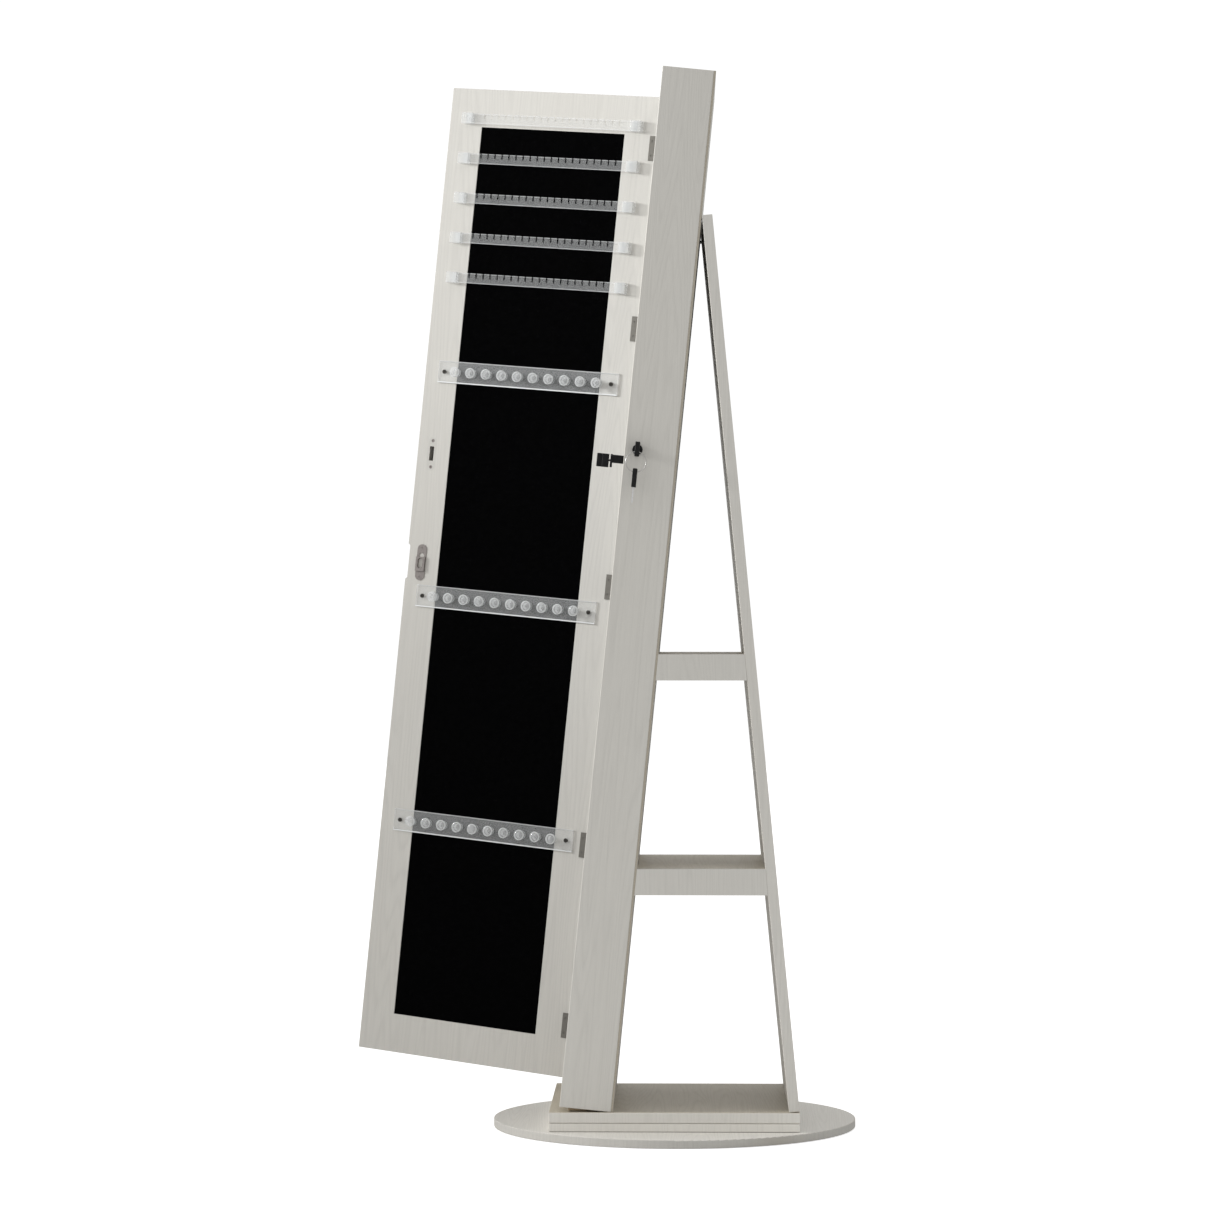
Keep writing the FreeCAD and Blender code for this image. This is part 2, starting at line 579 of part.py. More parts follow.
def hinge_door_leaves():
    """The leaf of each hinge that turns with the door."""
    axis_s, axis_q = -HINGE_OUT, DOOR_GAP / 2
    leaves = []
    for middle in HINGE_HEIGHTS:
        low, high = middle - LEAF_HEIGHT / 2, middle + LEAF_HEIGHT / 2
        z0, z1 = low + KNUCKLE_END + KNUCKLE_PLAY, high - KNUCKLE_END - KNUCKLE_PLAY
        leaf = fused([box(0.6, LEAF_WIDTH, 0, LEAF, low, high), box(axis_s, LEAF_WIDTH, 0, LEAF, z0, z1),
                      rod(KNUCKLE_RADIUS, (axis_s, axis_q, z0), (axis_s, axis_q, z1))])
        leaves.append(leaf.cut(rod(PIN_RADIUS + RUNNING, (axis_s, axis_q, low), (axis_s, axis_q, high))))
    return drilled(Part.makeCompound(leaves), LEAF_SCREW, door_leaf_spots())


def keeper_plate():
    """The steel plate that the magnet holds: rounded ends, a round hole and a raised strap with a slot."""
    wide, tall, thick = KEEPER
    low, high, proud = KEEPER_STRAP
    radius, rise = KEEPER_HOLE
    slot_width, slot_low, slot_high = KEEPER_SLOT
    plate = long_hole(wide, tall, HOOK_S, 0, thick, CATCH_HEIGHT)
    middle = CATCH_HEIGHT + rise
    plate = plate.cut(rod(radius, (HOOK_S, -1, middle), (HOOK_S, thick + 1, middle)))
    strap = board(HOOK_S - wide / 2, HOOK_S + wide / 2, 0, thick + proud,
                  CATCH_HEIGHT + low, CATCH_HEIGHT + high, 0.5)
    slot = long_hole(slot_width, slot_high - slot_low, HOOK_S, -1, thick + proud + 1,
                     CATCH_HEIGHT + (slot_low + slot_high) / 2)
    return drilled(fused([plate, strap]).cut(slot), LEAF_SCREW, keeper_screw_spots())


def strike_plate():
    """The plate let into the door in front of the lock's pocket."""
    plate = long_hole(STRIKE[0], STRIKE[1], HOOK_S, -STRIKE[2], 0, STRIKE_MIDDLE).cut(strike_opening())
    return drilled(plate, LEAF_SCREW, keeper_screw_spots())


def door():
    """The door's own pieces."""
    felt = box(STILE, FREE_EDGE - STILE, -FELT_RECESS - FELT, -FELT_RECESS, END_RAIL, CAB_LENGTH - END_RAIL)
    mirror = board(MIRROR_BORDER, FREE_EDGE - MIRROR_BORDER, -DOOR_BOARD, -DOOR_BOARD + MIRROR,
                   MIRROR_BORDER, CAB_LENGTH - MIRROR_BORDER, 0.5)
    return {
        "door_frame": door_board(),
        "door_mirror": mirror,
        "door_felt_board": felt,
        "hinge_door_leaves": hinge_door_leaves(),
        "hinge_door_screws": fasteners(LEAF_SCREW, door_leaf_spots()),
        "catch_keeper": keeper_plate(),
        "lock_strike": strike_plate(),
        "keeper_screws": fasteners(LEAF_SCREW, keeper_screw_spots()),
    }


# ---- what hangs jewelry on the door ----
COMB = (288.0, 15.5, 2.2)       # length, height, thickness
COMB_OFF = 5.9                  # from the door's face to the comb
COMB_SLOTS = 20
COMB_PITCH = 12.0
COMB_SLOT = (2.5, 7.75)
HOLDER = (18.0, 17.0, 12.0)
HOLDER_INSET = 24.5
FITTING_GAP = 0.3               # blocks and necklace plates stand this far off the door's face
NECKLACE_PLATE = (305.0, 34.0, 3.0)


def comb(height):
    """An earring bar: a clear strip with slots down from its upper edge."""
    length, tall, thick = COMB
    left, right = (CAB_WIDTH - length) / 2, (CAB_WIDTH + length) / 2
    low, high = height - tall / 2, height + tall / 2
    half, deep = COMB_SLOT[0] / 2, COMB_SLOT[1]
    outline = [(left, low), (right, low), (right, high)]
    for k in range(COMB_SLOTS):
        middle = CAB_WIDTH / 2 + ((COMB_SLOTS - 1) / 2 - k) * COMB_PITCH
        outline += [(middle + half, high), (middle + half, high - deep)]
        outline += [(middle - half, high - deep), (middle - half, high)]
    outline.append((left, high))
    return slab([(s, COMB_OFF, z) for s, z in outline], (0, thick, 0))


def holders():
    """The clear blocks that hold both ends of each earring bar."""
    wide, tall, deep = HOLDER
    blocks = []
    for height in EARRING_HEIGHTS:
        for s in (HOLDER_INSET, CAB_WIDTH - HOLDER_INSET - wide):
            block = board(s, s + wide, FITTING_GAP, deep, height - tall / 2, height + tall / 2, 0.8)
            blocks.append(block.cut(comb(height)))
    return Part.makeCompound(blocks)


def pegs():
    """Round pegs along each necklace plate: a stem and a rounded head."""
    plate = FITTING_GAP + NECKLACE_PLATE[2]
    profile = [(0, plate), (6.5, plate), (6.5, plate + 1.2), (4.5, plate + 1.2), (4.5, 11.0), (7.0, 11.6),
               (8.0, 12.8), (8.0, 14.2), (7.0, 15.6), (5.0, 16.4), (0, 16.8)]
    solids = []
    for height in NECKLACE_HEIGHTS:
        for k in range(PEGS):
            s = CAB_WIDTH / 2 + (k - (PEGS - 1) / 2) * PEG_PITCH
            solids.append(turned([(s + r, q, height) for r, q in profile], Vector(s, 0, height), Y_AXIS))
    return Part.makeCompound(solids)


def door_fittings():
    """Earring bars and necklace plates, each a node of its own."""
    shapes = {f"earring_bar_{k + 1}": comb(height) for k, height in enumerate(EARRING_HEIGHTS)}
    shapes["earring_bar_holders"] = holders()
    length, tall, thick = NECKLACE_PLATE
    left = (CAB_WIDTH - length) / 2
    for k, height in enumerate(NECKLACE_HEIGHTS):
        plate = board(left, left + length, FITTING_GAP, FITTING_GAP + thick,
                      height - tall / 2, height + tall / 2, 0.6)
        shapes[f"necklace_plate_{k + 1}"] = drilled(plate, PLATE_SCREW, necklace_screw_spots())
    shapes["necklace_pegs"] = pegs()
    shapes["necklace_plate_screws"] = fasteners(PLATE_SCREW, necklace_screw_spots())
    return shapes


# ---- the rear leg and its shelves ----
def back_face_x(z):
    """The outside of the cabinet's back at a height above the floor."""
    return CAB_FOOT_X + FULL_DEPTH * COS_LEAN + (z - DECK_TOP) * SIN_LEAN / COS_LEAN


def rear_top_x():
    return back_face_x(REAR_HEIGHT)


def rear_face_x(z):
    """The inside of the rear board at a height above the floor."""
    share = (z - DECK_TOP) / (REAR_HEIGHT - DECK_TOP)
    return REAR_FOOT + (rear_top_x() - REAR_FOOT) * share


def rear_gap_slab(low, high, y0, y1):
    """A board that fills the depth between the cabinet's back and the rear board."""
    outline = [(back_face_x(low), y0, low), (rear_face_x(low), y0, low),
               (rear_face_x(high), y0, high), (back_face_x(high), y0, high)]
    return slab(outline, (0, y1 - y0, 0))


def rear_leg():
    """The board that props the cabinet from behind, and two shelves between them."""
    run, rise = REAR_FOOT - rear_top_x(), REAR_HEIGHT - DECK_TOP
    rear = board(0, BOARD, -HALF, HALF, 0, math.hypot(run, rise))
    tilt = Rotation(Y_AXIS, -math.degrees(math.atan2(run, rise)))
    rear.Placement = Placement(Vector(REAR_FOOT, 0, DECK_TOP), tilt)
    frame = frame_screw_spots()
    rear = drilled(rear, FRAME_SCREW, frame)
    rear = drilled(rear, DECK_BOLT, deck_bolt_spots())
    shapes = {"rear_board": rear}
    rails = []
    for name, top in zip(("upper", "lower"), SHELF_TOPS):
        shapes[f"{name}_shelf_board"] = rear_gap_slab(top - BOARD, top, -INSIDE, INSIDE)
        for y0, y1 in ((-HALF, -INSIDE), (INSIDE, HALF)):
            rails.append(drilled(rear_gap_slab(top - RAIL_HEIGHT, top, y0, y1), FRAME_SCREW, frame))
    shapes["shelf_rails"] = Part.makeCompound(rails)
    shapes["rear_board_screws"] = fasteners(FRAME_SCREW, frame)
    return shapes


def model():
    """Every piece in its place."""
    shapes = foot()
    shapes.update(deck())
    shapes.update(rear_leg())
    for part in (carcass, interior, hinge_cabinet_side, lock_body, lock_hook, lock_plug, keys):
        shapes.update(placed(CABINET, part()))
    for part in (door, door_fittings):
        shapes.update(placed(DOOR, part()))
    return shapes


os.makedirs("parts", exist_ok=True)
for node, shape in model().items():
    shape.exportStep(f"parts/{node}.step")
    print(node, "solids", len(shape.Solids), "valid", shape.isValid(), "mm3", round(shape.Volume))
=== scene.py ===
"""A jewelry cabinet that leans back on a turning foot: its looks, light and camera, round the frame."""

import math
import random

import bmesh
import bpy
from mathutils import Euler, Matrix, Vector


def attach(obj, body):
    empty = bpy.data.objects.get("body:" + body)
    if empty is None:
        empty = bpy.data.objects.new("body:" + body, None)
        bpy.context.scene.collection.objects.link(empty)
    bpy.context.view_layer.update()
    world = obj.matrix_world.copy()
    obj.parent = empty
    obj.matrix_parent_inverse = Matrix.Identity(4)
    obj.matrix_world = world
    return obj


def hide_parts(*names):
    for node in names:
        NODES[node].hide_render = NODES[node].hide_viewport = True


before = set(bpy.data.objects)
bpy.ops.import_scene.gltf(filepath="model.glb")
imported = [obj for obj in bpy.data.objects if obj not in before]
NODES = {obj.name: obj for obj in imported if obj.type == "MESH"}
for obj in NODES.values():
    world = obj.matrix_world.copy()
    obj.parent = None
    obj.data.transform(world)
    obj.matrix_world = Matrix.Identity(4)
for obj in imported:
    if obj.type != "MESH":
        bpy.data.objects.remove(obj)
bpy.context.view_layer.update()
scene = bpy.context.scene

LEAN = math.radians(5.67)           # the cabinet leans back
DOOR_OPEN = math.radians(112.2)     # the door stands open
REAR_LEAN = math.radians(-5.55)     # the rear board leans forward


# ---- the directions of each board: across, through, along its grain ----
def turn(axis, angle):
    return Matrix.Rotation(angle, 3, axis)


def into(axes):
    """The rotation that turns the frame's directions into a board's own."""
    return tuple(axes.transposed().to_euler())


UPRIGHT = Matrix.Identity(3)
CABINET = turn("Y", LEAN)
DOOR = CABINET @ turn("Z", -DOOR_OPEN - math.pi / 2)
REAR = turn("Y", REAR_LEAN)
CROSSWAYS = turn("X", -math.pi / 2)
CABINET_ACROSS = CABINET @ CROSSWAYS


# ---- node tools ----
class Nodes:
    """A material's node tree, with short calls to add and join nodes."""

    def __init__(self, name):
        self.material = bpy.data.materials.new(name)
        self.material.use_nodes = True
        self.tree = self.material.node_tree
        self.shader = self.tree.nodes["Principled BSDF"]
        self.place = self.add("ShaderNodeTexCoord").outputs

    def add(self, kind, **values):
        """A new node with some of its settings."""
        node = self.tree.nodes.new(kind)
        for key, value in values.items():
            setattr(node, key, value)
        return node

    def feed(self, node, socket, value):
        """Joins a node's input to another node, or gives it a fixed value."""
        target = node.inputs[socket]
        if isinstance(value, bpy.types.NodeSocket):
            self.tree.links.new(value, target)
        else:
            target.default_value = value

    def math(self, operation, a, b=0.0, c=0.0):
        node = self.add("ShaderNodeMath", operation=operation)
        for index, value in enumerate((a, b, c)):
            self.feed(node, index, value)
        return node.outputs[0]

    def mapped(self, source, rotation=(0, 0, 0), scale=(1, 1, 1), shift=(0, 0, 0), kind="POINT"):
        """A place or a direction, turned, stretched and moved."""
        node = self.add("ShaderNodeMapping", vector_type=kind)
        self.feed(node, "Vector", source)
        self.feed(node, "Rotation", rotation)
        self.feed(node, "Scale", scale)
        if kind == "POINT":
            self.feed(node, "Location", shift)
        return node.outputs[0]

    def noise(self, vector, scale, detail=3.0, rough=0.5, distort=0.0):
        node = self.add("ShaderNodeTexNoise")
        for socket, value in (("Vector", vector), ("Scale", scale), ("Detail", detail),
                              ("Roughness", rough), ("Distortion", distort)):
            self.feed(node, socket, value)
        return node.outputs["Fac"]

    def ranged(self, value, low, high, out_low=0.0, out_high=1.0):
        """A value between low and high, carried over to the range between the last two."""
        node = self.add("ShaderNodeMapRange")
        for index, number in enumerate((value, low, high, out_low, out_high)):
            self.feed(node, index, number)
        return node.outputs[0]

    def mix(self, factor, a, b):
        """From colour a to colour b."""
        node = self.add("ShaderNodeMix", data_type="RGBA")
        self.feed(node, 0, factor)
        self.feed(node, 6, (*a, 1.0) if isinstance(a, tuple) else a)
        self.feed(node, 7, (*b, 1.0) if isinstance(b, tuple) else b)
        return node.outputs[2]

    def blend_vectors(self, factor, a, b):
        """From vector a to vector b."""
        node = self.add("ShaderNodeMix", data_type="VECTOR")
        for index, value in ((0, factor), (4, a), (5, b)):
            self.feed(node, index, value)
        return node.outputs[1]

    def tinted(self, colour, by):
        """A colour multiplied by another."""
        node = self.add("ShaderNodeMix", data_type="RGBA", blend_type="MULTIPLY")
        for index, value in ((0, 1.0), (6, colour), (7, (*by, 1.0))):
            self.feed(node, index, value)
        return node.outputs[2]

    def facing(self, axes):
        """How far a surface's normal lies along each of the board's own axes."""
        turned = self.mapped(self.place["Normal"], rotation=into(axes), kind="VECTOR")
        split = self.add("ShaderNodeSeparateXYZ")
        self.feed(split, 0, turned)
        return [self.math("ABSOLUTE", split.outputs[k]) for k in range(3)]

    def bump(self, height, distance, strength=1.0):
        node = self.add("ShaderNodeBump")
        self.feed(node, "Height", height)
        self.feed(node, "Distance", distance)
        self.feed(node, "Strength", strength)
        self.feed(self.shader, "Normal", node.outputs[0])

    def set(self, **values):
        """Fills the shader's own sockets."""
        for key, value in values.items():
            self.feed(self.shader, key.replace("_", " "), value)


def scaled(colour, share):
    """A colour made lighter or darker."""
    return tuple(channel * share for channel in colour)


# ---- measures of the frame's pieces ----
def extents(name, axes):
    """A node's lowest and highest place along each of a board's own axes."""
    points = [vertex.co for vertex in NODES[name].data.vertices]
    return [(min(point.dot(way) for point in points), max(point.dot(way) for point in points))
            for way in axes.col]


def thinnest(name, axes):
    """Which of a board's own axes runs through its thickness."""
    spans = [high - low for low, high in extents(name, axes)]
    return spans.index(min(spans))


# ---- materials ----
BOARD_COLOUR = (0.640, 0.622, 0.580)
CLOUD_COLOUR = (0.600, 0.578, 0.530)
WORN_COLOUR = (0.500, 0.465, 0.400)
# a warm tint: painted warm bounce light between the shelf and deck boards
PAINTED_WARM_BOUNCE = (1.0, 0.93, 0.80)


def wood_print(n, local):
    """Printed growth rings, streaks and pores, and the broad clouds that the print fades in."""
    field = n.noise(n.mapped(local, scale=(1, 1, 0.055)), 12.0, detail=2.0, rough=0.4, distort=0.15)
    rings = n.math("SINE", n.math("MULTIPLY", field, 300.0))
    rings = n.math("POWER", n.ranged(rings, -1.0, 1.0), 3.0)
    streak = n.noise(n.mapped(local, scale=(1, 1, 0.03)), 380.0, detail=3.0, rough=0.6)
    pores = n.noise(n.mapped(local, scale=(1, 1, 0.05)), 1400.0, detail=2.0, rough=0.55)
    broad = n.noise(n.mapped(local, scale=(1, 1, 0.25)), 7.0, detail=1.0)
    grain = n.math("MULTIPLY_ADD", rings, 0.18, n.math("MULTIPLY", streak, 0.55))
    return n.math("MULTIPLY_ADD", pores, 0.36, grain), broad


def laminate(name, axes, seed, tone, edge_tone_and_painted_light, painted_warm_bounce, through):
    """Off-white laminate with an embossed, washed-out wood print along the board's third axis.

    A board with an edge tone has its edges banded with strips of that tone, their grain upright.  A
    board's tone and edge tone are partly painted light and painted shade.
    The painted warm bounce is a warm tint of the board's faces, painted light bounced between the
    boards, that its banding doesn't share.  Through is the number of the axis that runs through the
    board's thickness.
    """
    n = Nodes(name)
    shift = (seed * 0.37, seed * 0.53, seed * 0.71)
    local = n.mapped(n.place["Object"], rotation=into(axes), shift=shift)
    near = n.facing(axes)
    if edge_tone_and_painted_light is not None:
        banding = n.mapped(n.place["Object"], shift=shift)
        wide = n.ranged(near[through], 0.6, 0.8)
        local = n.blend_vectors(wide, banding, local)
    grain, broad = wood_print(n, local)
    light = scaled(BOARD_COLOUR, 1.05 * tone)
    dark = scaled(BOARD_COLOUR, 0.90 * tone)
    colour = n.mix(n.ranged(grain, 0.30, 0.90), light, dark)
    colour = n.mix(n.ranged(broad, 0.35, 0.65, 0.0, 0.25), colour, scaled(CLOUD_COLOUR, tone))
    flat = n.math("MAXIMUM", n.math("MAXIMUM", near[0], near[1]), near[2])
    worn = n.math("MULTIPLY", n.ranged(flat, 0.97, 0.86), n.ranged(broad, 0.40, 0.62))
    colour = n.mix(n.math("MULTIPLY", worn, 0.55), colour, scaled(WORN_COLOUR, tone))
    # the faces' warm tint is painted warm bounce light
    face = colour if painted_warm_bounce is None else n.tinted(colour, painted_warm_bounce)
    # the banding's own tone, partly painted light and painted shade
    if edge_tone_and_painted_light is not None:
        share = edge_tone_and_painted_light / tone
        face = n.mix(wide, n.tinted(colour, (share, share, share)), face)
    n.set(Base_Color=face, Roughness=n.ranged(grain, 0.3, 0.95, 0.46, 0.62), Specular_IOR_Level=0.35)
    n.bump(n.math("MULTIPLY", grain, -1.0), 0.00022, 0.8)
    return n.material


def hardboard(name, axes, seed, raw_colour):
    """Thin painted board: off-white faces across the first axis, and a raw edge."""
    n = Nodes(name)
    local = n.mapped(n.place["Object"], rotation=into(axes), shift=(seed, seed, seed))
    fibres = n.noise(local, 900.0, detail=4.0, rough=0.65)
    cloud = n.noise(local, 6.0, detail=2.0)
    wide = n.facing(axes)[0]
    face = n.mix(n.ranged(fibres, 0.35, 0.7), (0.585, 0.570, 0.530), (0.520, 0.500, 0.455))
    raw = n.mix(n.ranged(fibres, 0.3, 0.7), raw_colour, scaled(raw_colour, 0.75))
    colour = n.mix(n.ranged(wide, 0.55, 0.85), raw, face)
    n.set(Base_Color=colour, Roughness=n.ranged(cloud, 0.3, 0.7, 0.55, 0.72), Specular_IOR_Level=0.25)
    n.bump(fibres, 0.00008)
    return n.material


def felt(name, colour, lint, shine):
    """Short dense felt: fibres in every direction and a little lint."""
    n = Nodes(name)
    local = n.place["Object"]
    fibres = n.noise(local, 1700.0, detail=4.0, rough=0.75, distort=1.2)
    clumps = n.noise(local, 120.0, detail=3.0, rough=0.6)
    specks = n.ranged(n.noise(local, 620.0, detail=2.0, rough=0.4), 0.66, 0.78)
    base = n.mix(n.ranged(clumps, 0.3, 0.7), scaled(colour, 0.6), scaled(colour, 1.5))
    base = n.mix(n.ranged(fibres, 0.45, 0.75, 0.0, 0.6), base, scaled(colour, 2.6))
    base = n.mix(n.math("MULTIPLY", specks, 0.6), base, lint)
    n.set(Base_Color=base, Roughness=n.ranged(fibres, 0.3, 0.7, 0.88, 1.0), Specular_IOR_Level=0.012)
    n.set(Sheen_Weight=shine, Sheen_Roughness=0.6)
    n.bump(n.math("ADD", fibres, n.math("MULTIPLY", clumps, 0.6)), 0.0006, 0.7)
    return n.material


def velvet(name):
    """Black velvet with a soft nap."""
    n = Nodes(name)
    local = n.place["Object"]
    nap = n.noise(local, 2400.0, detail=3.0, rough=0.7)
    brushed = n.noise(n.mapped(local, scale=(1, 0.4, 1)), 60.0, detail=3.0, rough=0.6, distort=1.5)
    base = n.mix(n.ranged(brushed, 0.35, 0.65), (0.006, 0.006, 0.007), (0.020, 0.020, 0.023))
    n.set(Base_Color=base, Roughness=n.ranged(nap, 0.3, 0.7, 0.75, 0.95), Specular_IOR_Level=0.10)
    n.set(Sheen_Weight=0.45, Sheen_Roughness=0.35)
    n.bump(n.math("MULTIPLY_ADD", brushed, 1.4, nap), 0.0004, 0.6)
    return n.material


def acrylic(name, axes, through, hazes_and_painted_highlights, seed, painted_edge_highlights=()):
    """Clear cast acrylic, each kind of surface with its own haze: faces, ends, upper and lower edges;
    where ends and edges are whiter than the faces, the extra whiteness is painted highlight.

    Faces lie across the axis with the number through.  The painted edge highlights are bright lines
    painted where an edge would shine through the face, each as height along the third axis, half width
    and strength.
    """
    n = Nodes(name)
    local = n.mapped(n.place["Object"], rotation=into(axes))
    smears = n.noise(n.mapped(local, shift=(seed, 0, seed)), 45.0, detail=4.0, rough=0.6, distort=0.8)
    saw = n.noise(n.mapped(local, scale=(1, 1, 0.2)), 1800.0, detail=2.0)
    near = n.facing(axes)
    face = n.ranged(near[through], 0.60, 0.90)
    upright = n.ranged(near[2], 0.60, 0.90)
    face_haze, end_haze_and_painted_highlight, edge_haze_and_painted_highlight = hazes_and_painted_highlights
    # where ends and edges are whiter than the faces, the extra whiteness is painted highlight
    haze_and_painted_highlight = n.math("MULTIPLY_ADD", face, face_haze - end_haze_and_painted_highlight, end_haze_and_painted_highlight)
    haze_and_painted_highlight = n.math("MULTIPLY_ADD", upright, edge_haze_and_painted_highlight - end_haze_and_painted_highlight, haze_and_painted_highlight)
    haze_and_painted_highlight = n.math("MULTIPLY", haze_and_painted_highlight, n.ranged(smears, 0.3, 0.7, 0.92, 1.08))
    split = n.add("ShaderNodeSeparateXYZ")
    n.feed(split, 0, local)
    # bright lines along the edges: painted highlight
    for height, half, strength in painted_edge_highlights:
        away = n.math("ABSOLUTE", n.math("SUBTRACT", split.outputs[2], height))
        haze_and_painted_highlight = n.math("MAXIMUM", haze_and_painted_highlight, n.ranged(away, half * 0.7, half * 1.3, strength, 0.0))
    colour = n.mix(face, (0.97, 0.98, 0.98), n.mix(smears, (0.92, 0.94, 0.94), (0.97, 0.98, 0.98)))
    rough = n.ranged(smears, 0.4, 0.8, 0.05, 0.12)
    n.set(Base_Color=colour, Roughness=rough, IOR=1.49, Alpha=haze_and_painted_highlight)
    n.bump(n.math("MULTIPLY_ADD", saw, 0.3, smears), 0.00002, 0.3)
    return n.material


def metal(name, colour, rough, scratch_scale=(1, 1, 0.06), tarnish=0.25):
    """Satin metal with fine scratches and slight tarnish."""
    n = Nodes(name)
    local = n.place["Object"]
    scratches = n.noise(n.mapped(local, scale=scratch_scale), 3000.0, detail=3.0, rough=0.6)
    stains = n.noise(local, 220.0, detail=4.0, rough=0.6, distort=0.6)
    base = n.mix(n.ranged(stains, 0.35, 0.75, 0.0, tarnish), colour, scaled(colour, 0.55))
    n.set(Base_Color=base, Metallic=1.0)
    n.set(Roughness=n.ranged(scratches, 0.3, 0.7, rough * 0.75, rough * 1.3))
    n.bump(scratches, 0.00002, 0.6)
    return n.material


def plastic(name, colour, rough, grain=1100.0):
    """Moulded plastic or lacquer with a fine skin and rubbed high spots."""
    n = Nodes(name)
    local = n.place["Object"]
    skin = n.noise(local, grain, detail=3.0, rough=0.55)
    rubbed = n.noise(local, 150.0, detail=3.0, rough=0.6)
    base = n.mix(n.ranged(rubbed, 0.45, 0.75, 0.0, 0.5), colour, tuple(0.9 * c + 0.012 for c in colour))
    n.set(Base_Color=base, Roughness=n.ranged(rubbed, 0.3, 0.7, rough, rough * 1.45))
    n.set(Specular_IOR_Level=0.18)
    n.bump(skin, 0.00004, 0.6)
    return n.material


def mirror_glass(name):
    """Silvered glass: a hard reflection, ground edges and faint wipe marks."""
    n = Nodes(name)
    local = n.place["Object"]
    wipes = n.noise(n.mapped(local, scale=(1, 1, 0.3)), 9.0, detail=5.0, rough=0.65, distort=1.0)
    face = n.ranged(n.facing(DOOR)[1], 0.80, 0.95)
    colour = n.mix(face, (0.30, 0.42, 0.38), (0.88, 0.90, 0.90))
    wiped = n.ranged(wipes, 0.45, 0.8, 0.008, 0.045)
    rough = n.math("MULTIPLY_ADD", n.math("SUBTRACT", 1.0, face), 0.35, wiped)
    n.set(Base_Color=colour, Roughness=rough, Metallic=face)
    return n.material


def assign(material, *names):
    """Gives CAD nodes their finish."""
    for name in names:
        mesh = NODES[name].data
        mesh.materials.clear()
        mesh.materials.append(material)


def finish_boards():
    """Every laminated board, each with its own stretch of the print."""
    boards = (      # node, its axes, tone, tone of its banding, painted warm bounce
        ("side_panel_near", CABINET, 0.90, None, None),
        ("side_panel_far", CABINET, 0.90, None, None),
        ("top_panel", CABINET_ACROSS, 0.92, None, None),
        ("bottom_panel", CABINET_ACROSS, 0.98, None, None),
        ("inner_shelves", CABINET_ACROSS, 1.00, None, None),
        ("door_frame", DOOR, 1.00, None, None),
        # the rear board's faces are lightened as painted light in the gap behind the cabinet; its
        # banding less so
        ("rear_board", REAR, 1.11, 0.91, None),
        ("upper_shelf_board", CROSSWAYS, 0.90, None, PAINTED_WARM_BOUNCE),
        ("lower_shelf_board", CROSSWAYS, 0.90, None, PAINTED_WARM_BOUNCE),
        ("shelf_rails", UPRIGHT, 0.88, None, None),
        # the deck's faces are darkened as painted shade under the cabinet; its banding is lightened as
        # painted light
        ("deck_board", CROSSWAYS, 0.71, 1.05, PAINTED_WARM_BOUNCE),
        # the spacer's banding is lightened as painted light
        ("spacer_board", CROSSWAYS, 1.00, 1.12, None),
        # the disc's banding is darkened as painted shade
        ("base_disc", CROSSWAYS, 1.02, 0.73, None),
    )
    for seed, (name, axes, tone, edge_tone_and_painted_light, painted_warm_bounce) in enumerate(boards, start=1):
        through = thinnest(name, axes)
        assign(laminate(f"laminate_{name}", axes, seed, tone, edge_tone_and_painted_light, painted_warm_bounce, through), name)
    assign(hardboard("hardboard_back", CABINET, 1.0, (0.42, 0.38, 0.31)), "back_panel")
    assign(hardboard("hardboard_wedge", UPRIGHT, 2.0, (0.80, 0.64, 0.44)), "foot_wedge")


